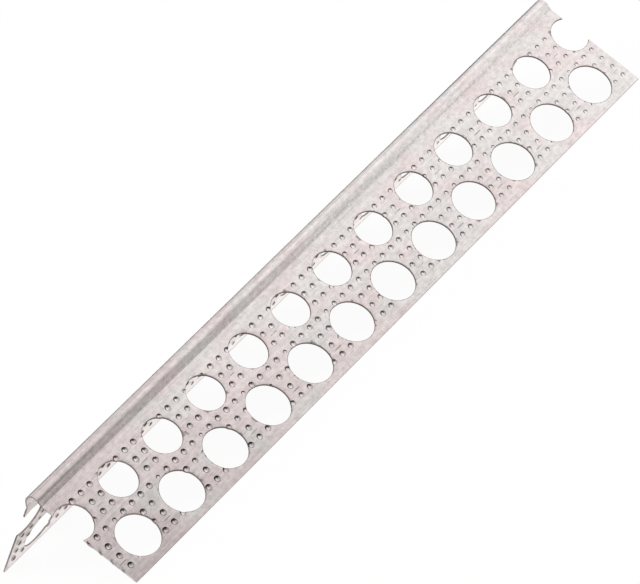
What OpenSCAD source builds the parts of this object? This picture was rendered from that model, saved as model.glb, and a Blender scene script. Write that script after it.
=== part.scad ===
// Perforated corner bead for plaster and board edges, a short cut sample.
// One strip of thin sheet, roll-formed: two flat wings near a right angle and a hollow round nose
// that stands a little proud of both wings. Each wing has a row of small holes beside the nose
// and a row of larger ones beside its free edge, half a pitch out of step.
// It stands like a tent on its two free edges. X is the length, Z is up, and the origin is at
// the middle of the floor under it.

/* [Sheet and wings] */
// Thickness of the sheet
sheet_t = 0.25; // [0.2:0.05:0.5]
// Width of each wing over all, from the outside of the nose to its free edge
wing_w = 20; // [18.5:0.5:40]
// Angle between the two wings
wing_angle = 87.75; // [80:0.25:110]
// Length of the sample
length = 130.6; // [60:0.2:400]

/* [Nose] */
// Outside radius of the round nose
nose_r = 1.25; // [1:0.05:2]
// Height of the nose above the outer face of a wing
nose_proud = 0.65; // [0.55:0.05:0.9]
// Angle between a wing and the slope that climbs from it to the nose
slope_angle = 32; // [25:1:36]
// Radius of the hollow bend between slope and wing, on its outer face
crease_r = 0.4; // [0.2:0.05:0.6]

/* [Holes] */
// Distance between neighbouring holes of a row
hole_pitch = 10.6; // [9:0.1:16]
// Diameter of the larger holes, in the row beside the free edge
outer_hole_d = 6.95; // [3:0.05:7.5]
// Diameter of the smaller holes, in the row beside the nose
inner_hole_d = 6.1; // [3:0.05:6.5]
// Distance from the free edge to the centres of the row beside it
edge_margin = 4.7; // [4.2:0.1:5.2]
// Distance between the two rows of a wing
row_gap = 7.8; // [7.2:0.1:8.2]
// Distance from the near end to the centre of the first large hole
near_margin = 7.1; // [0:0.1:12]

/* [Hidden] */
$fn = 96;
// How far a punch reaches past both faces of the sheet
punch_over = 1;

// Each wing leans this far from upright
half = wing_angle / 2;
// Where the nose's arc ends and the slope begins, as an angle at the nose's centre
slope_at = half - slope_angle;
// Length of the straight part of the slope, which takes up the rest of the nose's height
slope_len = (nose_proud - (nose_r + crease_r) * (1 - cos(slope_angle))) / sin(slope_angle);
// The flat of a wing, measured along it from the nose's centre
flat_from = (nose_r + crease_r) * sin(slope_angle) + slope_len * cos(slope_angle);
flat_to = wing_w - nose_r;
flat_len = flat_to - flat_from;
// Outer face of a wing, measured square to it from the nose's centre
face_at = nose_r - nose_proud;
// Height of the nose's centre when both free edges stand on the floor
nose_z = flat_to * cos(half) - (face_at - sheet_t) * sin(half);

// A size past the reach of any bend, for the shapes that trim one
reach = 3 * (nose_r + crease_r + sheet_t);

// A ring of the sheet's thickness
module ring(inside_r) {
    difference() {
        circle(inside_r + sheet_t);
        circle(inside_r);
    }
}

// The nose's arc, trimmed where the slopes begin
module nose_section() {
    difference() {
        ring(nose_r - sheet_t);
        translate([-reach, -2 * reach]) square(2 * reach);
        for (side = [0, 1])
            mirror([side, 0]) rotate(slope_at) translate([0, -reach]) square(reach);
    }
}

// The hollow bend about the origin, which turns the sheet from the slope to the wing
module crease_section() {
    difference() {
        ring(crease_r);
        translate([-reach, 0]) square(2 * reach);
        rotate(slope_angle) translate([-reach, -2 * reach]) square(2 * reach);
    }
}

// One side of the section, down from the nose: slope, hollow bend and flat wing
module wing_section() {
    rotate(slope_at) {
        translate([nose_r - sheet_t, -slope_len]) square([sheet_t, slope_len]);
        translate([nose_r + crease_r, -slope_len]) {
            crease_section();
            rotate(slope_angle) translate([-crease_r - sheet_t, -flat_len])
                square([sheet_t, flat_len]);
        }
    }
}

// The whole section, with the nose's centre at the origin
module section() {
    nose_section();
    for (side = [0, 1])
        mirror([side, 0]) wing_section();
}

// A row of punches along a wing, wherever a hole of the row meets the sheet
module punch_row(d, first, from_edge) {
    count = floor((length + d / 2 - first) / hole_pitch);
    before = ceil((-d / 2 - first) / hole_pitch);
    for (i = [before : count])
        translate([first + i * hole_pitch, flat_to - from_edge, face_at - sheet_t - punch_over])
            cylinder(d = d, h = sheet_t + 2 * punch_over);
}

// Both rows of a wing, with X from the near end, Y along the wing and Z square to it
module wing_punches() {
    punch_row(outer_hole_d, near_margin, edge_margin);
    punch_row(inner_hole_d, near_margin - hole_pitch / 2, edge_margin + row_gap);
}

module corner_bead() {
    color([0.80, 0.78, 0.77])
        translate([-length / 2, 0, nose_z])
            difference() {
                rotate([90, 0, 90]) linear_extrude(length) section();
                for (side = [0, 1])
                    mirror([0, side, 0]) rotate([half - 90, 0, 0]) wing_punches();
            }
}

corner_bead();
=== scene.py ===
"""A perforated corner bead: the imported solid, redressed as the punched and dimpled sheet it is."""

import math

import bpy
from mathutils import Matrix, Vector
from mathutils.geometry import delaunay_2d_cdt


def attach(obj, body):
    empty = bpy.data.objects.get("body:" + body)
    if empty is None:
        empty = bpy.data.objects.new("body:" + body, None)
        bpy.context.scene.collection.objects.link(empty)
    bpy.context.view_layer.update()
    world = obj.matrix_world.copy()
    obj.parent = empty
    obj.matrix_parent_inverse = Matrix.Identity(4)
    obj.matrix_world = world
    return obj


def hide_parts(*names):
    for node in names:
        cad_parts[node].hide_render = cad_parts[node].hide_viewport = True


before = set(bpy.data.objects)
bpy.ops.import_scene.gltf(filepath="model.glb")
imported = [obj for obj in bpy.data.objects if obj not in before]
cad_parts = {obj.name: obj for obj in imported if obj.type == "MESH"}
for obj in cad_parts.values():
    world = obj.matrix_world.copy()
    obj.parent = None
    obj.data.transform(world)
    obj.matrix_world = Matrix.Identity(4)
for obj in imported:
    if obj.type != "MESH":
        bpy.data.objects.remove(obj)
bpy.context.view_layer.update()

MM = 0.001

# The sheet and its section, in millimetres, as in the solid
SHEET = 0.25
WING_W = 20.0
LENGTH = 130.6
HALF = math.radians(87.75 / 2)
NOSE_R = 1.25
NOSE_PROUD = 0.65
SLOPE = math.radians(32)
CREASE_R = 0.4
# The solid's nose has flat facets: its top is this much lower than the arc
FACET = 0.004
# The rolled bends ease into the slope over these lengths
SOFT_NOSE = 1.0
SOFT_CREASE = 0.22

# The punched holes
HOLE_PITCH = 10.6
OUTER_HOLE_R = 3.475
INNER_HOLE_R = 3.05
EDGE_MARGIN = 4.7
ROW_GAP = 7.8
NEAR_MARGIN = 7.1
# The punch draws the rim of each hole down with it, this deep and this far out
RIM_DRAW = 0.035
RIM_DRAW_W = 0.22

# The near end's cut runs a little aslant: how far in from the solid's end it is at the nose,
# and on the far wing (1) and the near wing (-1) at the crease and at the free edge
NEAR_CUT_TOP = 0.35
NEAR_CUT = {1: (0.0, 0.3), -1: (0.42, 0.74)}

# The pressed dimples: a square lattice, rolled before the holes were punched, so that the holes
# and the ends cut through it
DIMPLE_STEP = 2.081
DIMPLE_ROWS = 7
# The first column of the far wing (1) and of the near wing (-1), from the near end
FIRST_COLUMN = {1: 1.65, -1: 0.272}
# The first row, from the free edge
FIRST_ROW = 2.38
# The rows run a little aslant, towards the free edge
LATTICE_SKEW = 0.0014
# Radius and depth of a dimple that is fully pressed; less pressing makes it smaller and flatter
DIMPLE_R = 0.535
DIMPLE_DEPTH = 0.205
DEPTH_POWER = 1.5
# How much of the depth is a gentle bowl; the rest is the steeper wall round it
DIMPLE_BOWL = 0.3
# The roll presses less towards the far end: the share at the near end, and the loss per millimetre
PRESSED_FULL = 1.05
PRESSED_LOSS = 0.004
# The dimples differ by this much, scattered by column, row and wing
DIMPLE_SPREAD = 0.12
SCATTER = (12.9898, 78.233, 37.7)
SCATTER_SCALE = 43758.5453
# In the row between the two rows of holes the punches have flattened the dimples beside the
# large holes: the row, how far before a hole's centre they are flattest, and by how much
FLATTENED_ROW = 3
FLATTENED_AT = 0.9
FLATTENED_BY = 0.5
# A punch that took the middle of a dimple has flattened the rest of it: from this gap to the
# rim, over this width, down to this share
SHEARED_FROM = -0.1
SHEARED_OVER = 0.35
SHEARED_LEFT = 0.15
# The shear at the near end has flattened the dimples that it cut to this share
CUT_LEFT = 0.95

# How finely the mesh follows all this: points round a rim, and how many times more where it
# comes this near to a dimple, in the dimple's radii
RIM_POINTS = 72
RIM_PARTS = 3
RIM_REACH = 1.25
# Rings round a rim, as shares of the width that is drawn down, kept this far from the dimples
RIM_RINGS = (0.5, 1.0)
RING_CLEAR = 1.2
# Points and rings round a dimple, in its radii, and the points between four dimples, in steps
DIMPLE_POINTS = 12
DIMPLE_RINGS = (0.35, 0.62, 0.82, 1.0, 1.14)
BETWEEN_DIMPLES = ((0.5, 0.5), (0.5, 0), (0, 0.5), (0.5, -0.5))
# Spacing along the ends, along the free edges, and along the bends and where they meet the flats
END_STEP = 0.26
EDGE_STEP = 1.04
BEND_STEP = 2.08
# Steps across half of the nose, a slope and a hollow bend
BEND_STEPS = 24
# No point of a flat comes nearer to an edge or rim than this
CLEAR = 0.07
# Points of the flats nearer than this are one, and so are places alike to this many digits
MERGE = 1e-5
PLACE_DIGITS = 4
# The kind of triangulation: over the whole convex hull
HULL = 0
# Guards a count of steps against a last digit
SLACK = 1e-6
# Faces that meet at more than this keep a sharp edge
SHARP = math.radians(50)

# The section's stretches, measured along the outer face from the top of the nose
SLOPE_AT = HALF - SLOPE
SLOPE_LEN = (NOSE_PROUD - (NOSE_R + CREASE_R) * (1 - math.cos(SLOPE))) / math.sin(SLOPE)
NOSE_END = NOSE_R * (math.pi / 2 - SLOPE_AT)
SLOPE_END = NOSE_END + SLOPE_LEN
FLAT_START = SLOPE_END + CREASE_R * SLOPE
# The flat of a wing, along it from the nose's centre, and its outer face, square to it
FLAT_FROM = (NOSE_R + CREASE_R) * math.sin(SLOPE) + SLOPE_LEN * math.cos(SLOPE)
FLAT_TO = WING_W - NOSE_R
FLAT_LEN = FLAT_TO - FLAT_FROM
FACE_AT = NOSE_R - NOSE_PROUD
# Height of the nose's centre
NOSE_Z = FLAT_TO * math.cos(HALF) - (FACE_AT - SHEET) * math.sin(HALF)


def unit(angle):
    return Vector((math.cos(angle), math.sin(angle)))


def along_face(normal):
    """The direction down the sheet, from the nose to the free edge."""
    return Vector((normal.y, -normal.x))


def clamp(value, low=0, high=1):
    return min(max(value, low), high)


def lean(v):
    """Angle of the outer face's normal, v along the sheet from the top of the nose."""
    start = NOSE_END - SOFT_NOSE / 2
    t = clamp((v - start) / SOFT_NOSE)
    turned = (min(v, start) + SOFT_NOSE * (t - t * t / 2)) / NOSE_R
    t = clamp((v - FLAT_START + SOFT_CREASE) / SOFT_CREASE)
    return math.pi / 2 - turned + SLOPE * t * t * (3 - 2 * t)


def flat_place(v):
    """A place on the outer face of a flat, v from its start."""
    n = unit(HALF)
    return n * FACE_AT + along_face(n) * (FLAT_FROM + v)


def bend_table(parts=400):
    """Places of the outer face at even steps from the top of the nose to the flat's start."""
    step = FLAT_START / parts
    p = Vector((0, NOSE_R - FACET))
    table = [p.copy()]
    for i in range(parts):
        p += along_face(unit(lean((i + 0.5) * step))) * step
        table.append(p.copy())
    # the eased bends end a little off the flat, and the places share that out
    miss = flat_place(0.0) - p
    return [p + miss * (i / parts) ** 2 for i, p in enumerate(table)]


BEND_TABLE = bend_table()


def section(u):
    """Point and outward normal of the outer face in the Y-Z plane, u from the top of the nose."""
    side, v = (1 if u >= 0 else -1), abs(u)
    if v < FLAT_START:
        at = v / FLAT_START * (len(BEND_TABLE) - 1)
        i = int(at)
        p, n = BEND_TABLE[i].lerp(BEND_TABLE[i + 1], at - i), unit(lean(v))
    else:
        p, n = flat_place(v - FLAT_START), unit(HALF)
    return Vector((side * p.x, p.y + NOSE_Z)), Vector((side * n.x, n.y))


def holes():
    """Centre and radius of each punched hole: x from the near end, v from the flat's start."""
    found = []
    rows = ((OUTER_HOLE_R, NEAR_MARGIN, EDGE_MARGIN),
            (INNER_HOLE_R, NEAR_MARGIN - HOLE_PITCH / 2, EDGE_MARGIN + ROW_GAP))
    for r, first, from_edge in rows:
        count = math.floor((LENGTH + r - first) / HOLE_PITCH) + 1
        found += [(first + i * HOLE_PITCH, FLAT_LEN - from_edge, r) for i in range(count)]
    return found


HOLES = holes()


def rim_gap(x, v):
    """Distance from a point of a wing to the nearest rim, less than 0 inside its hole."""
    return min(math.hypot(x - hx, v - hv) - r for hx, hv, r in HOLES)


def drawn(x, v):
    """How near a point is to a rim: 1 on it, and 0 past the width that the punch draws down."""
    return 1 - clamp(rim_gap(x, v) / RIM_DRAW_W)


def end_at(side, v):
    """Where the near end of a wing is cut, from the solid's end: the cut isn't quite square."""
    crease, free = NEAR_CUT[side]
    return crease + (free - crease) * v / FLAT_LEN


def bend_end(u):
    """Where the near end is cut between the two flats."""
    crease = NEAR_CUT[1 if u > 0 else -1][0]
    return NEAR_CUT_TOP + (crease - NEAR_CUT_TOP) * abs(u) / FLAT_START


def on_sheet(side, x, v, margin):
    """Whether a point lies on a wing's flat, clear of its edges and rims by the margin."""
    return (end_at(side, v) + margin < x < LENGTH - margin and margin < v < FLAT_LEN - margin
            and rim_gap(x, v) >= margin)


def lattice_place(side, i, j):
    """Centre of a dimple of a wing, by column and row."""
    x = FIRST_COLUMN[side] + i * DIMPLE_STEP
    return x, FLAT_LEN - FIRST_ROW - j * DIMPLE_STEP + LATTICE_SKEW * x


def nearest_dimple(side, x, v):
    i = round((x - FIRST_COLUMN[side]) / DIMPLE_STEP)
    j = round((FLAT_LEN - FIRST_ROW + LATTICE_SKEW * x - v) / DIMPLE_STEP)
    return i, clamp(j, 0, DIMPLE_ROWS - 1)


def from_dimple(side, x, v):
    """How far a point is from the centre of the nearest dimple: along x, along v and in all."""
    cx, cv = lattice_place(side, *nearest_dimple(side, x, v))
    return x - cx, v - cv, math.hypot(x - cx, v - cv)


def dimples(side):
    """Column and row of each dimple of a wing that meets the sheet."""
    last = math.ceil((LENGTH - FIRST_COLUMN[side]) / DIMPLE_STEP)
    return [(i, j) for i in range(-1, last + 1) for j in range(DIMPLE_ROWS)]


def strength(side, i, j):
    """How fully a dimple is pressed: each differs a little."""
    x, v = lattice_place(side, i, j)
    by_column, by_row, by_wing = SCATTER
    spread = math.sin(by_column * i + by_row * j + by_wing * side) * SCATTER_SCALE
    full = PRESSED_FULL - PRESSED_LOSS * x
    full *= 1 + DIMPLE_SPREAD * (2 * (spread - math.floor(spread)) - 1)
    full *= clamp((rim_gap(x, v) - SHEARED_FROM) / SHEARED_OVER, SHEARED_LEFT)
    if x < end_at(side, v) + DIMPLE_R / 2:
        full *= CUT_LEFT
    if j == FLATTENED_ROW:
        ahead = (NEAR_MARGIN - x) % HOLE_PITCH
        off = min(abs(ahead - FLATTENED_AT), abs(ahead - HOLE_PITCH - FLATTENED_AT))
        full *= 1 - FLATTENED_BY * math.exp(-off ** 2)
    return full


def dimple_radius(full):
    return DIMPLE_R * math.sqrt(full)


def bowl(q):
    """Depth of a dimple, from 1 in its middle to 0 at its lip."""
    return 1 - DIMPLE_BOWL * q * q - (1 - DIMPLE_BOWL) * q ** 4 if q < 1 else 0.0


def in_dimple(side, x, v):
    """Share of its dimple's depth at a point of a wing, and how fully that dimple is pressed."""
    full = strength(side, *nearest_dimple(side, x, v))
    _, _, out = from_dimple(side, x, v)
    return bowl(out / dimple_radius(full)), full


def depth(side, x, v):
    """How far the sheet is pushed in at a point of a wing, by the dimples and by the punches."""
    share, full = in_dimple(side, x, v)
    return DIMPLE_DEPTH * full ** DEPTH_POWER * share + RIM_DRAW * drawn(x, v) ** 2


class Outline:
    """Points and constraint edges handed to the triangulation."""

    def __init__(self):
        self.points = []
        self.edges = []

    def add(self, x, v):
        self.points.append(Vector((x, v)))
        return len(self.points) - 1

    def chain(self, places, closed=False):
        ids = [self.add(x, v) for x, v in places]
        self.edges += list(zip(ids, ids[1:]))
        if closed:
            self.edges.append((ids[-1], ids[0]))

    def ring(self, places):
        """A closed ring with gaps where a place is None."""
        ids = [self.add(*place) if place else None for place in places]
        pairs = zip(ids, ids[1:] + ids[:1])
        self.edges += [(a, b) for a, b in pairs if a is not None and b is not None]


def parts_of(distance, size):
    """How many even parts no longer than the size a distance has."""
    return max(1, math.ceil(distance / size - SLACK))


def steps(a, b, size):
    """Even places from a to b, both included."""
    n = parts_of(abs(b - a), size)
    return [a + (b - a) * i / n for i in range(n + 1)]


def between(a, b, size):
    """Even places on the straight line from a to b, both included."""
    n = parts_of(math.dist(a, b), size)
    return [(a[0] + (b[0] - a[0]) * i / n, a[1] + (b[1] - a[1]) * i / n) for i in range(n + 1)]


def on_circle(centre, r, angle):
    return centre[0] + r * math.cos(angle), centre[1] + r * math.sin(angle)


def end_crossings(side, near):
    """Where holes cut an end: the hole's index with its lower and its upper crossing."""
    cuts = []
    # the end is the line x = base + slant * v
    base = end_at(side, 0.0) if near else LENGTH
    slant = end_at(side, 1.0) - end_at(side, 0.0) if near else 0.0
    for i, (hx, hv, r) in enumerate(HOLES):
        a = 1 + slant * slant
        b = slant * (base - hx) - hv
        c = (base - hx) ** 2 + hv * hv - r * r
        inside = b * b - a * c
        if inside > 0:
            low, high = (-b - math.sqrt(inside)) / a, (-b + math.sqrt(inside)) / a
            cuts.append((i, (base + slant * low, low), (base + slant * high, high)))
    return cuts


def rim_turn(side, centre, r, start, stop):
    """Angles of the points of a rim, closer together where it cuts through a dimple."""
    n = math.ceil((stop - start) / (2 * math.pi) * RIM_POINTS)
    turn = []
    for k in range(n):
        low, high = start + (stop - start) * k / n, start + (stop - start) * (k + 1) / n
        _, _, out = from_dimple(side, *on_circle(centre, r, (low + high) / 2))
        parts = RIM_PARTS if out < RIM_REACH * DIMPLE_R else 1
        turn += [low + (high - low) * part / parts for part in range(parts)]
    return turn + [stop]


def add_ends(out, side):
    """Both ends of a wing's flat, and for each hole that they cut the ends of its rim."""
    cut_rims = {}
    for near in (True, False):
        at = (end_at(side, 0.0) if near else LENGTH, 0.0)
        last = (end_at(side, FLAT_LEN) if near else LENGTH, FLAT_LEN)
        for i, low, high in end_crossings(side, near):
            out.chain(between(at, low, END_STEP))
            cut_rims[i] = (low, high) if near else (high, low)
            at = high
        out.chain(between(at, last, END_STEP))
    return cut_rims


def add_rims(out, side, cut_rims):
    """The rim of every hole; one that an end cuts runs over the sheet between its crossings."""
    for i, (hx, hv, r) in enumerate(HOLES):
        if i not in cut_rims:
            turn = rim_turn(side, (hx, hv), r, 0.0, 2 * math.pi)[:-1]
            out.chain([on_circle((hx, hv), r, a) for a in turn], closed=True)
            continue
        first, last = cut_rims[i]
        start = math.atan2(first[1] - hv, first[0] - hx)
        stop = math.atan2(last[1] - hv, last[0] - hx)
        if stop < start:
            stop += 2 * math.pi
        turn = rim_turn(side, (hx, hv), r, start, stop)[1:-1]
        out.chain([first] + [on_circle((hx, hv), r, a) for a in turn] + [last])


def wing_outline(side):
    """Every edge and rim of the flat of a wing."""
    out = Outline()
    top = [(x, 0.0) for x in steps(0.0, LENGTH, BEND_STEP)[1:]]
    out.chain([(end_at(side, 0.0), 0.0)] + top)
    out.chain([(x, FLAT_LEN) for x in steps(end_at(side, FLAT_LEN), LENGTH, EDGE_STEP)])
    add_rims(out, side, add_ends(out, side))
    return out


def fill_points(out, side):
    """Rings round every dimple, points between the dimples, and rings round every hole."""
    for i, j in dimples(side):
        centre = lattice_place(side, i, j)
        if on_sheet(side, *centre, CLEAR):
            out.add(*centre)
        wide = dimple_radius(strength(side, i, j))
        for ring, q in enumerate(DIMPLE_RINGS):
            # every second ring is turned by half a step
            ahead = 0.5 * (ring % 2)
            turn = [2 * math.pi * (k + ahead) / DIMPLE_POINTS for k in range(DIMPLE_POINTS)]
            places = [on_circle(centre, q * wide, a) for a in turn]
            out.ring([place if on_sheet(side, *place, CLEAR) else None for place in places])
        for over, down in BETWEEN_DIMPLES:
            x, v = centre[0] + over * DIMPLE_STEP, centre[1] + down * DIMPLE_STEP
            if on_sheet(side, x, v, 2 * CLEAR):
                out.add(x, v)
    # these stand midway between two points of the rim, at every second gap
    count = RIM_POINTS // 2
    for hx, hv, r in HOLES:
        for k in range(count):
            angle = 2 * math.pi * (k + 0.25) / count
            for part in RIM_RINGS:
                x, v = on_circle((hx, hv), r + part * RIM_DRAW_W, angle)
                clear = from_dimple(side, x, v)[2] > RING_CLEAR * DIMPLE_R
                if clear and on_sheet(side, x, v, CLEAR):
                    out.add(x, v)


def wing_triangles(side):
    """Points (x, v, pressed depth) and triangles of the flat of a wing."""
    out = wing_outline(side)
    fill_points(out, side)
    points, _, faces, *_ = delaunay_2d_cdt(out.points, out.edges, [], HULL, MERGE, False)
    # a rim's straight parts cut into its hole, and so may the triangles beside them
    sagitta = OUTER_HOLE_R * (1 - math.cos(math.pi / RIM_POINTS))
    kept = []
    for face in faces:
        x = sum(points[i].x for i in face) / 3
        v = sum(points[i].y for i in face) / 3
        inside = end_at(side, v) < x < LENGTH and 0 < v < FLAT_LEN
        if inside and rim_gap(x, v) >= -2 * sagitta:
            kept.append(tuple(face))
    used = sorted({i for face in kept for i in face})
    new = {old: i for i, old in enumerate(used)}
    places = [(points[i].x, points[i].y, depth(side, points[i].x, points[i].y)) for i in used]
    return places, [tuple(new[i] for i in face) for face in kept]


# What the materials need to know of a point, x from the near end and u along the sheet from the
# top of the nose. Each function is stored as an attribute under its own name.

# Where the slope has random marks and the crease at its foot painted shade, from the top of the nose
SLOPE_MIDDLE = 2.05
SLOPE_REACH = 0.7
CREASE_AT = 2.33
CREASE_REACH = 0.22
# How far in from the free edges shade is painted on the sheet, most at the near end
FREE_EDGE_SHADE_REACH = 14.0
# Painted shade on the walls of the dimples, uneven round them
DIMPLE_SHADE_MIDDLE = 0.85
DIMPLE_SHADE_BACK = 0.2
DIMPLE_SHADE_UP = 0.5
MIDDLE_R = 0.01
# How much light is painted on a cut edge: 1 at the near wing's near end, which reaches this far,
# and less on the nose there and on every edge of the far wing
CUT_REACH = 2.0
CUT_NOSE = 0.5
CUT_FAR_WING = 0.35


def at_dimple(x, u):
    """1 in the middle of a dimple, 0 outside it."""
    if abs(u) < FLAT_START:
        return 0.0
    return in_dimple(1 if u > 0 else -1, x, abs(u) - FLAT_START)[0]


def dimple_shade_side(x, u):
    """How much painted shade a dimple's wall gets: most on the near end's side and towards the nose.
    """
    if abs(u) < FLAT_START:
        return 0.0
    over, down, out = from_dimple(1 if u > 0 else -1, x, abs(u) - FLAT_START)
    if out < MIDDLE_R:
        return DIMPLE_SHADE_MIDDLE
    return clamp(DIMPLE_SHADE_MIDDLE - (DIMPLE_SHADE_BACK * over + DIMPLE_SHADE_UP * down) / out)


def at_rim(x, u):
    """1 on the rim of a hole, 0 away from it."""
    return drawn(x, abs(u) - FLAT_START)


def from_edge(x, u):
    """Millimetres to the free edge."""
    return FLAT_START + FLAT_LEN - abs(u)


def at_slope(x, u):
    """1 in the middle of the slope beside the nose, 0 on the nose and on the flats."""
    return max(0.0, 1 - abs(abs(u) - SLOPE_MIDDLE) / SLOPE_REACH)


def crease_shade(x, u):
    """1 along the foot of the slope, where shade is painted, 0 away from it."""
    return max(0.0, 1 - abs(abs(u) - CREASE_AT) / CREASE_REACH)


def cut_painted_light(x, u):
    """Painted light on a cut edge: the near end's most, and the far wing's everywhere a little."""
    if u > FLAT_START:
        return CUT_FAR_WING
    if x > CUT_REACH:
        return 0.0
    return CUT_NOSE if abs(u) < FLAT_START else 1.0


def along(x, u):
    """0 at the near end, 1 at the far end."""
    return x / LENGTH


def free_edge_shade(x, u):
    """Painted shade: 1 on the free edges at the near end, fading to the nose and to the far end."""
    return max(0.0, 1 - from_edge(x, u) / FREE_EDGE_SHADE_REACH) * (1 - x / LENGTH)


ATTRIBUTES = (at_dimple, at_rim, from_edge, at_slope, crease_shade, cut_painted_light, along, free_edge_shade, dimple_shade_side)


def skin():
    """Places (x, u, pressed depth) and faces of one skin of the sheet, from edge to edge."""
    places, faces = [], []
    index = {}

    def place(x, u, pressed):
        key = (round(x, PLACE_DIGITS), round(u, PLACE_DIGITS))
        if key not in index:
            index[key] = len(places)
            places.append((x, u, pressed))
        return index[key]

    for side in (1, -1):
        flat_points, flat_faces = wing_triangles(side)
        ids = [place(x, side * (FLAT_START + v), pressed) for x, v, pressed in flat_points]
        faces += [[ids[i] for i in (f if side == 1 else reversed(f))] for f in flat_faces]
    half = [FLAT_START * i / BEND_STEPS for i in range(BEND_STEPS + 1)]
    rows = [-u for u in reversed(half[1:])] + half
    columns = steps(0.0, LENGTH, BEND_STEP)
    grid = [[place(x if x else bend_end(u), u, 0.0) for u in rows] for x in columns]
    for left, right in zip(grid, grid[1:]):
        for j in range(len(rows) - 1):
            faces.append([left[j], right[j], right[j + 1], left[j + 1]])
    return places, faces


def sheet_mesh():
    """The whole sheet as one closed mesh: both skins, and walls along every edge and rim."""
    places, faces = skin()
    outer, inner = [], []
    for x, u, pressed in places:
        p, n = section(u)
        for points, inward in ((outer, pressed), (inner, pressed + SHEET)):
            points.append(Vector((x - LENGTH / 2, p.x - n.x * inward, p.y - n.y * inward)) * MM)
    # an edge that no second face shares is open, and gets a wall
    walls = {}
    for face in faces:
        for a, b in zip(face, face[1:] + face[:1]):
            if walls.pop((b, a), None) is None:
                walls[(a, b)] = True
    count = len(places)
    back = [[i + count for i in reversed(face)] for face in faces]
    sides = [[b, a, a + count, b + count] for a, b in walls]
    mesh = bpy.data.meshes.new("bead_sheet")
    mesh.from_pydata(outer + inner, [], faces + back + sides)
    mesh.validate()
    for attribute in ATTRIBUTES:
        values = [attribute(x, u) for x, u, _ in places]
        stored = mesh.attributes.new(attribute.__name__, "FLOAT", "POINT")
        stored.data.foreach_set("value", values + values)
    # the outer skin's faces come first, then the inner skin's, and then the walls
    for i, polygon in enumerate(mesh.polygons):
        polygon.material_index = min(i // len(faces), 2)
    return mesh


class Graph:
    """A new material, and short calls that make its nodes and wire them."""

    def __init__(self, name, bare=False):
        self.material = bpy.data.materials.new(name)
        self.material.use_nodes = True
        self.nodes = self.material.node_tree.nodes
        if bare:
            self.nodes.clear()

    def feed(self, socket, value):
        """Set an input to a number or colour, or link another node's output to it."""
        if isinstance(value, bpy.types.NodeSocket):
            self.material.node_tree.links.new(value, socket)
        elif socket.type == "RGBA":
            socket.default_value = (*value, 1)
        else:
            socket.default_value = value

    def node(self, kind, inputs=None, **settings):
        """A node with its settings, and its inputs fed by name or number."""
        node = self.nodes.new("ShaderNode" + kind)
        for name, value in settings.items():
            setattr(node, name, value)
        for key, value in (inputs or {}).items():
            self.feed(node.inputs[key], value)
        return node

    def attribute(self, name):
        return self.node("Attribute", attribute_name=name).outputs["Fac"]

    def noise(self, scale, stretch, detail=3.0):
        """Noise in the part's own millimetres, stretched along its length."""
        place = self.node("TexCoord").outputs["Object"]
        size = self.node("Mapping", {"Vector": place, "Scale": (scale / stretch, scale, scale)})
        noise = self.node("TexNoise", {"Vector": size.outputs["Vector"], "Scale": 1 / MM,
                                       "Detail": detail})
        return noise.outputs["Fac"]

    def ramp(self, value, low, high, start=0.3, stop=0.7):
        """From low to high while the value goes from start to stop, and level outside them.
        Unless told, it spans what noise covers."""
        span = self.node("MapRange", {"Value": value, "From Min": start, "From Max": stop,
                                      "To Min": low, "To Max": high})
        return span.outputs["Result"]

    def maths(self, operation, *values):
        return self.node("Math", dict(enumerate(values)), operation=operation).outputs["Value"]

    def plus(self, a, b):
        return self.maths("ADD", a, b)

    def minus(self, a, b):
        return self.maths("SUBTRACT", a, b)

    def times(self, product, *others):
        for other in others:
            product = self.maths("MULTIPLY", product, other)
        return product

    def off(self, a, b):
        """How far a is from b, either way."""
        return self.maths("ABSOLUTE", self.minus(a, b))

    def rest(self, share):
        """What the share leaves of 1."""
        return self.minus(1, share)

    def lerp(self, share, value):
        """1 where the share is 0, and the value where it is 1."""
        return self.rest(self.times(share, self.rest(value)))

    def mix_colour(self, factor, low, high):
        tint = self.node("Mix", {"A": low, "B": high, "Factor": factor}, data_type="RGBA")
        return tint.outputs["Result"]

    def shade(self, colour, tone):
        """The colour, made as much darker or lighter as the tone says."""
        scaled = self.node("VectorMath", {0: colour, "Scale": tone}, operation="SCALE")
        return scaled.outputs["Vector"]


# The skins' two colours, warmer and cooler, in patches; how wide the painted shade line along the
# edges is, how strong the painted shade rings and tips of dimples are, and the shade painted inside
OUTSIDE = {"warm": (0.885, 0.78, 0.77), "cool": (0.865, 0.825, 0.81),
           "edge_shade_width": 0.04, "shade_ring_share": 0.95, "tip_shade_share": 0.0, "inside_shade_tone": 1.0}
INSIDE = {"warm": (0.86, 0.77, 0.75), "cool": (0.88, 0.82, 0.78),
          "edge_shade_width": 0.3, "shade_ring_share": 0.2, "tip_shade_share": 1.0, "inside_shade_tone": 0.9}
LINE_SHADE_COLOUR = (0.30, 0.25, 0.24)
DIMPLE_SHADE_COLOUR = (0.12, 0.098, 0.095)
TIP_SHADE_COLOUR = (0.11, 0.08, 0.075)

# Noises: waves in a millimetre across the strip, how many times longer they are along it, detail
PATCHES = (0.2, 1.6)
STREAKS = (5.0, 40.0, 4.0)
MOTTLE = (1.5, 1.3, 6.0)
TICKS = (2.2, 0.45, 4.0)
WRINKLES = (0.55, 0.8, 4.0)
MARK_BREAKS = (0.5, 1.0)
ROLL_BANDS = (1.2, 12.0)
ROLL_LINES = (2.5, 16.0, 5.0)

# Ramps: the two values, and where between them the input starts and stops. Towards the far end
# the sheet is cooler, and its streaks and painted shade rings are fainter.
COOLER_FAR = (-0.08, 0.07, 0.0, 1.0)
PATCH_EDGES = (0, 1, 0.42, 0.58)
STREAKS_FAR = (1.1, 0.4, 0.0, 1.0)
SHADE_RINGS_FAR = (1.0, 0.75, 0.2, 1.0)
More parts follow.
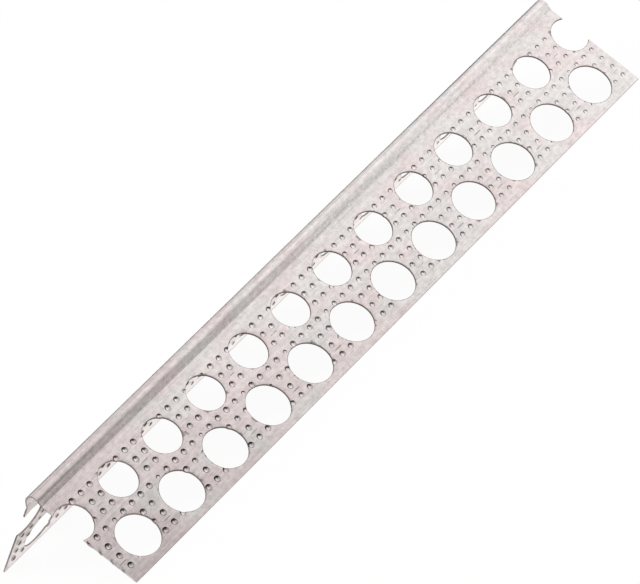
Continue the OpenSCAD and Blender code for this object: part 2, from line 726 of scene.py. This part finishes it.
# Tones of the sheet
STREAK_TONES = (0.89, 1.08)
MOTTLE_TONES = (0.86, 1.11)
SLOPE_TONES = (0.82, 1.10)
CREASE_SHADE_TONES = (0.78, 1.04, 0.38, 0.6)
WRINKLE_TONES = (0.84, 1.0, 0.0, 0.012)
FREE_EDGE_SHADE_TONES = (1.04, 0.83, 0.0, 1.0)
# The noise's value where a wrinkle runs
WRINKLE_AT = 0.5
# Painted shade darkens the near end, fading over this share of the length, but not the slopes
NEAR_END_SHADE = (0.13, 0.0, 0.0, 0.3)
NEAR_END_SHADE_OFF_SLOPE = (1.0, 0.0, 0.0, 0.5)
# Painted shade darkens the inner skin from here on along the length
INSIDE_SHADE_FROM = (0.09, 0.13)
# A narrow line of painted shade runs along every rim and free edge
RIM_LINE = (0.0, 1.0, 0.48, 0.85)
EDGE_CORE = 0.6
# The painted shade ring starts at a dimple's lip, and ends further in where the wall gets more shade
RING_FROM = (0.02, 0.1)
RING_TO = (1, 0, 0.36, 0.62)
RING_SHADE_REACH = 0.32
# Where the painted shade on a dimple's tip starts and is full, as shares of its depth
TIP_SHADE_FROM = (0.4, 0.62)
# The roll's pins burnish the dimples
ROUGHNESS = (0.26, 0.38)
BURNISHED = (1.0, 0.45, 0.05, 0.25)
BUMP_STRENGTH = 0.4
BUMP_HEIGHT = 0.02 * MM

# The punching tool leaves a fine short mark between the holes of each row: where, as x from the
# near end and millimetres from the free edge, how strong, and where it fades along and across
TOOL_MARKS = ((7.1, 11.72), (1.8, 3.42))
MARK_DEPTH = 0.65
MARK_ENDS = (0.54, 0.9)
MARK_SIDES = (0.03, 0.09)
MARK_BREAK_SHARES = (0.2, 1.0, 0.4, 0.55)


def tool_mark(g, centre, edge_gap):
    """1, and less on the fine marks that repeat with the holes at this place."""
    # shifted so that each mark's middle is at half a pitch, and no value is below zero
    x = g.plus(g.times(g.attribute("along"), LENGTH), 1.5 * HOLE_PITCH - centre)
    x = g.off(g.maths("MODULO", x, HOLE_PITCH), HOLE_PITCH / 2)
    v = g.off(g.attribute("from_edge"), edge_gap)
    share = g.times(g.ramp(x, MARK_DEPTH, 0.0, *MARK_ENDS), g.ramp(v, 1.0, 0.0, *MARK_SIDES),
                    g.ramp(g.noise(*MARK_BREAKS), *MARK_BREAK_SHARES))
    return g.rest(share)


def skin_tone(g, inside_shade_tone):
    """How bright the sheet is from place to place, before the marks of its edges and dimples."""
    far, slope = g.attribute("along"), g.attribute("at_slope")
    ticks = g.noise(*TICKS)
    wrinkle = g.off(g.noise(*WRINKLES), WRINKLE_AT)
    # painted shade on the near end
    near_end_shade = g.times(g.ramp(far, *NEAR_END_SHADE), g.ramp(slope, *NEAR_END_SHADE_OFF_SLOPE))
    return g.times(
        g.ramp(wrinkle, *WRINKLE_TONES),
        g.lerp(g.ramp(far, *STREAKS_FAR), g.ramp(g.noise(*STREAKS), *STREAK_TONES)),
        g.ramp(g.noise(*MOTTLE), *MOTTLE_TONES),
        g.lerp(slope, g.ramp(ticks, *SLOPE_TONES)),
        # painted shade along the crease, broken by noise
        g.lerp(g.attribute("crease_shade"), g.ramp(ticks, *CREASE_SHADE_TONES)),
        # painted shade towards the free edges at the near end
        g.ramp(g.attribute("free_edge_shade"), *FREE_EDGE_SHADE_TONES),
        g.rest(near_end_shade),
        # painted shade on the inner skin, past the open near end
        g.ramp(far, 1.0, inside_shade_tone, *INSIDE_SHADE_FROM),
        g.times(*[tool_mark(g, *place) for place in TOOL_MARKS]))


def aluminium(name, warm, cool, edge_shade_width, shade_ring_share, tip_shade_share, inside_shade_tone):
    """Mill-finish aluminium: pale, faintly warm, with fine lines along the rolling direction."""
    g = Graph(name)
    shader = g.nodes["Principled BSDF"]
    shader.inputs["Metallic"].default_value = 1.0
    far, dimple, shade_side = g.attribute("along"), g.attribute("at_dimple"), g.attribute("dimple_shade_side")

    patches = g.plus(g.noise(*PATCHES), g.ramp(far, *COOLER_FAR))
    sheet = g.mix_colour(g.ramp(patches, *PATCH_EDGES), warm, cool)
    sheet = g.shade(sheet, skin_tone(g, inside_shade_tone))

    # painted shade: a narrow dark line round every rim and along the free edges
    rim = g.ramp(g.attribute("at_rim"), *RIM_LINE)
    edge = g.ramp(g.attribute("from_edge"), 1.0, 0.0, EDGE_CORE * edge_shade_width, edge_shade_width)
    sheet = g.mix_colour(g.maths("MAXIMUM", rim, edge), sheet, LINE_SHADE_COLOUR)
    # painted shade: a dark ring inside the lip of every dimple, and a dark spot on its tip
    reach = g.minus(dimple, g.times(shade_side, RING_SHADE_REACH))
    ring = g.times(g.ramp(dimple, 0, shade_ring_share, *RING_FROM), g.ramp(reach, *RING_TO), shade_side,
                   g.ramp(far, *SHADE_RINGS_FAR))
    tip_shade = g.ramp(dimple, 0, tip_shade_share, *TIP_SHADE_FROM)
    for share, colour in ((ring, DIMPLE_SHADE_COLOUR), (tip_shade, TIP_SHADE_COLOUR)):
        sheet = g.mix_colour(g.times(share, g.rest(rim)), sheet, colour)
    g.feed(shader.inputs["Base Color"], sheet)

    rough = g.ramp(g.noise(*ROLL_BANDS), *ROUGHNESS)
    g.feed(shader.inputs["Roughness"], g.times(rough, g.ramp(dimple, *BURNISHED)))
    bump = g.node("Bump", {"Strength": BUMP_STRENGTH, "Distance": BUMP_HEIGHT,
                           "Height": g.noise(*ROLL_LINES)})
    g.feed(shader.inputs["Normal"], bump.outputs["Normal"])
    return g.material


# The cut edges: their two dull colours, their grain, and the painted light on them, broken by noise
CUT_DARK = (0.27, 0.215, 0.21)
CUT_PALE = (0.48, 0.41, 0.40)
CUT_LIT_COLOUR = (0.86, 0.79, 0.78)
CUT_GRAIN = (1.5, 1.0)
CUT_BREAKS = (0.9, 1.0)
CUT_BREAK_SHARES = (0.35, 1.0, 0.42, 0.54)
CUT_ROUGHNESS = 0.55


def cut_aluminium():
    """The sheared and punched edges: darker and rougher than the rolled faces."""
    g = Graph("cut_aluminium")
    shader = g.nodes["Principled BSDF"]
    shader.inputs["Metallic"].default_value = 1.0
    shader.inputs["Roughness"].default_value = CUT_ROUGHNESS
    dull = g.mix_colour(g.noise(*CUT_GRAIN), CUT_DARK, CUT_PALE)
    # painted light on the cut edges, most at the near wing's near end
    painted_light = g.times(g.attribute("cut_painted_light"), g.ramp(g.noise(*CUT_BREAKS), *CUT_BREAK_SHARES))
    g.feed(shader.inputs["Base Color"], g.mix_colour(painted_light, dull, CUT_LIT_COLOUR))
    return g.material


def link(obj):
    bpy.context.scene.collection.objects.link(obj)
    return obj


def add_bead():
    mesh = sheet_mesh()
    mesh.materials.append(aluminium("aluminium_outside", **OUTSIDE))
    mesh.materials.append(aluminium("aluminium_inside", **INSIDE))
    mesh.materials.append(cut_aluminium())
    bead = link(bpy.data.objects.new("bead_sheet", mesh))
    mesh.shade_smooth()
    mesh.set_sharp_from_angle(angle=SHARP)
    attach(bead, "root")
    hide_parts("corner_bead")


# The camera: where the optical axis meets the near wing, and the view there
LOOK_AT = Vector((-4.71, -5.63, 8.28)) * MM
CAMERA_DISTANCE = 887.8 * MM
CAMERA_AZIMUTH = math.radians(40.70)
CAMERA_DOWN = math.radians(25.74)
CAMERA_ROLL = math.radians(-24.11)
LENS = 339.14
SENSOR = 36.0
CLIP_START = 0.01


def add_camera():
    forward = Vector((math.sin(CAMERA_AZIMUTH) * math.cos(CAMERA_DOWN),
                      math.cos(CAMERA_AZIMUTH) * math.cos(CAMERA_DOWN), -math.sin(CAMERA_DOWN)))
    data = bpy.data.cameras.new("camera")
    data.lens = LENS
    data.sensor_width = SENSOR
    data.sensor_fit = "HORIZONTAL"
    data.clip_start = CLIP_START
    camera = link(bpy.data.objects.new("camera", data))
    turn = forward.to_track_quat("-Z", "Y").to_matrix() @ Matrix.Rotation(CAMERA_ROLL, 3, "Z")
    camera.matrix_world = Matrix.Translation(LOOK_AT - forward * CAMERA_DISTANCE) @ turn.to_4x4()
    bpy.context.scene.camera = camera


WHITE = (1, 1, 1)
FLOOR_WHITE = (0.95, 0.95, 0.95)
# Side of the floor, in metres
FLOOR_SIZE = 6.0
# How much of the floor is its own glow, and how bright that is
FLOOR_GLOW = 0.9
FLOOR_LEVEL = 1.035
WORLD_LEVEL = 0.72


def plane(name, corners, material):
    """A flat piece of the stage."""
    mesh = bpy.data.meshes.new(name)
    mesh.from_pydata(corners, [], [(0, 1, 2, 3)])
    mesh.materials.append(material)
    obj = link(bpy.data.objects.new(name, mesh))
    return obj


def floor_material():
    """White, with a little of the shadow on it: reflections see it just as the camera does."""
    g = Graph("floor_white", bare=True)
    white = g.node("BsdfDiffuse", {"Color": FLOOR_WHITE})
    light = g.node("Emission", {"Color": WHITE, "Strength": FLOOR_LEVEL})
    rays = g.node("LightPath").outputs
    seen = g.maths("MAXIMUM", rays["Is Camera Ray"], rays["Is Glossy Ray"])
    seen = g.maths("MAXIMUM", seen, rays["Is Transmission Ray"])
    mix = g.node("MixShader", {"Fac": g.times(seen, FLOOR_GLOW), 1: white.outputs["BSDF"],
                               2: light.outputs["Emission"]})
    g.node("OutputMaterial", {"Surface": mix.outputs["Shader"]})
    return g.material


def add_floor():
    s = FLOOR_SIZE / 2
    plane("floor", [(-s, -s, 0), (s, -s, 0), (s, s, 0), (-s, s, 0)], floor_material())


def glow(name, level):
    """A material that is simply as bright as its level, for cards that the metal reflects."""
    g = Graph(name, bare=True)
    light = g.node("Emission", {"Color": WHITE, "Strength": level})
    g.node("OutputMaterial", {"Surface": light.outputs["Emission"]})
    return g.material


def card(name, start, stop, level):
    """A flat studio card that only reflections see, between two opposite corners in millimetres.
    It stands square to X, or has its long edges along X."""
    (x0, y0, z0), (x1, y1, z1) = start, stop
    second, fourth = ((x1, y0, z0), (x0, y1, z1)) if x0 != x1 else ((x0, y1, z0), (x0, y0, z1))
    obj = plane(name, [Vector(c) * MM for c in (start, second, stop, fourth)], glow(name, level))
    obj.visible_camera = False
    obj.visible_diffuse = False
    obj.visible_shadow = False


# The cards: name, two opposite corners and level. The first are the bright room beyond the far
# end, the dark gap under it, the floor's dark strips and the side of the room.
ROOM_CARDS = (
    ("panel_right", (300, -480, 110), (300, -120, 560), 0.92),
    ("panel_mid", (300, -120, 110), (300, -20, 560), 1.1),
    ("backdrop_end", (600, -150, 20), (600, 370, 560), 1.35),
    ("flag_end", (400, -300, 0), (400, 260, 124), 0.04),
    ("flag_floor", (-50, -50, 0.2), (400, -14.6, 0.2), 0.06),
    ("flag_floor_end", (67, -14.6, 0.2), (400, 15, 0.2), 0.06),
    ("room_side", (500, -900, 130), (-300, -900, 1070), 0.15),
)
# In front of the near wing, from the near end to the far end: x from and to, and the levels of
# the card that faces the wing, of the one over it, and of those on the floor beside both wings
FRONT_CARDS = (
    (-140, -22, 0.78, 0.18, 0.04),
    (-22, 0, 0.82, 0.36, 0.05),
    (0, 18, 0.86, 0.38, 0.08),
    (18, 38, 0.95, 0.5, 0.19),
    (38, 60, 0.98, 0.74, 0.34),
    (60, 80, 1.0, 0.9, 0.45),
    (80, 140, 1.07, 1.0, 0.55),
)
FRONT_Y = -50
FRONT_TOP = 11
OVER_TOP = 30
# The floor's cards are shifted towards the near end, and rise from their inner to outer edge
LOW_SHIFT = -15
LOW_INNER = (14.6, 0.2)
LOW_OUTER = (27, 5)
# Behind the bead, on the floor inside it, and in its open near end
CLOSE_CARDS = (
    ("flag_back", (-120, 40, 12), (60, 40, 28), 0.03),
    ("flag_back_end", (60, 40, 12), (160, 40, 36), 0.03),
    ("flag_inside_near", (-66, -10.6, 0.1), (-48, 10.6, 0.1), 0.75),
    ("flag_inside", (-48, -10.6, 0.1), (64, 10.6, 0.1), 0.3),
    ("bounce_nose", (-62.5, -1, 12), (-62.5, 1, 14.2), 0.9),
    ("bounce_inside_-1", (-64, -11.3, 0.1), (64, -13.2, 0.1), 1.2),
    ("bounce_inside_1", (-64, 11.3, 0.1), (64, 13.2, 0.1), 1.2),
)


def add_light():
    world = bpy.data.worlds.new("studio")
    world.use_nodes = True
    back = world.node_tree.nodes["Background"]
    back.inputs["Color"].default_value = (*WHITE, 1)
    back.inputs["Strength"].default_value = WORLD_LEVEL
    bpy.context.scene.world = world
    for row in ROOM_CARDS:
        card(*row)
    for n, (x0, x1, level, over, low) in enumerate(FRONT_CARDS):
        card(f"flag_front_{n}", (x0, FRONT_Y, 0), (x1, FRONT_Y, FRONT_TOP), level)
        card(f"flag_over_{n}", (x0, FRONT_Y, FRONT_TOP), (x1, FRONT_Y, OVER_TOP), over)
        for side in (-1, 1):
            inner = (x0 + LOW_SHIFT, side * LOW_INNER[0], LOW_INNER[1])
            outer = (x1 + LOW_SHIFT, side * LOW_OUTER[0], LOW_OUTER[1])
            card(f"flag_low_{n}_{side}", inner, outer, low)
    for row in CLOSE_CARDS:
        card(*row)


def main():
    add_bead()
    add_camera()
    add_floor()
    add_light()
    bpy.context.scene.view_settings.view_transform = "Standard"


main()
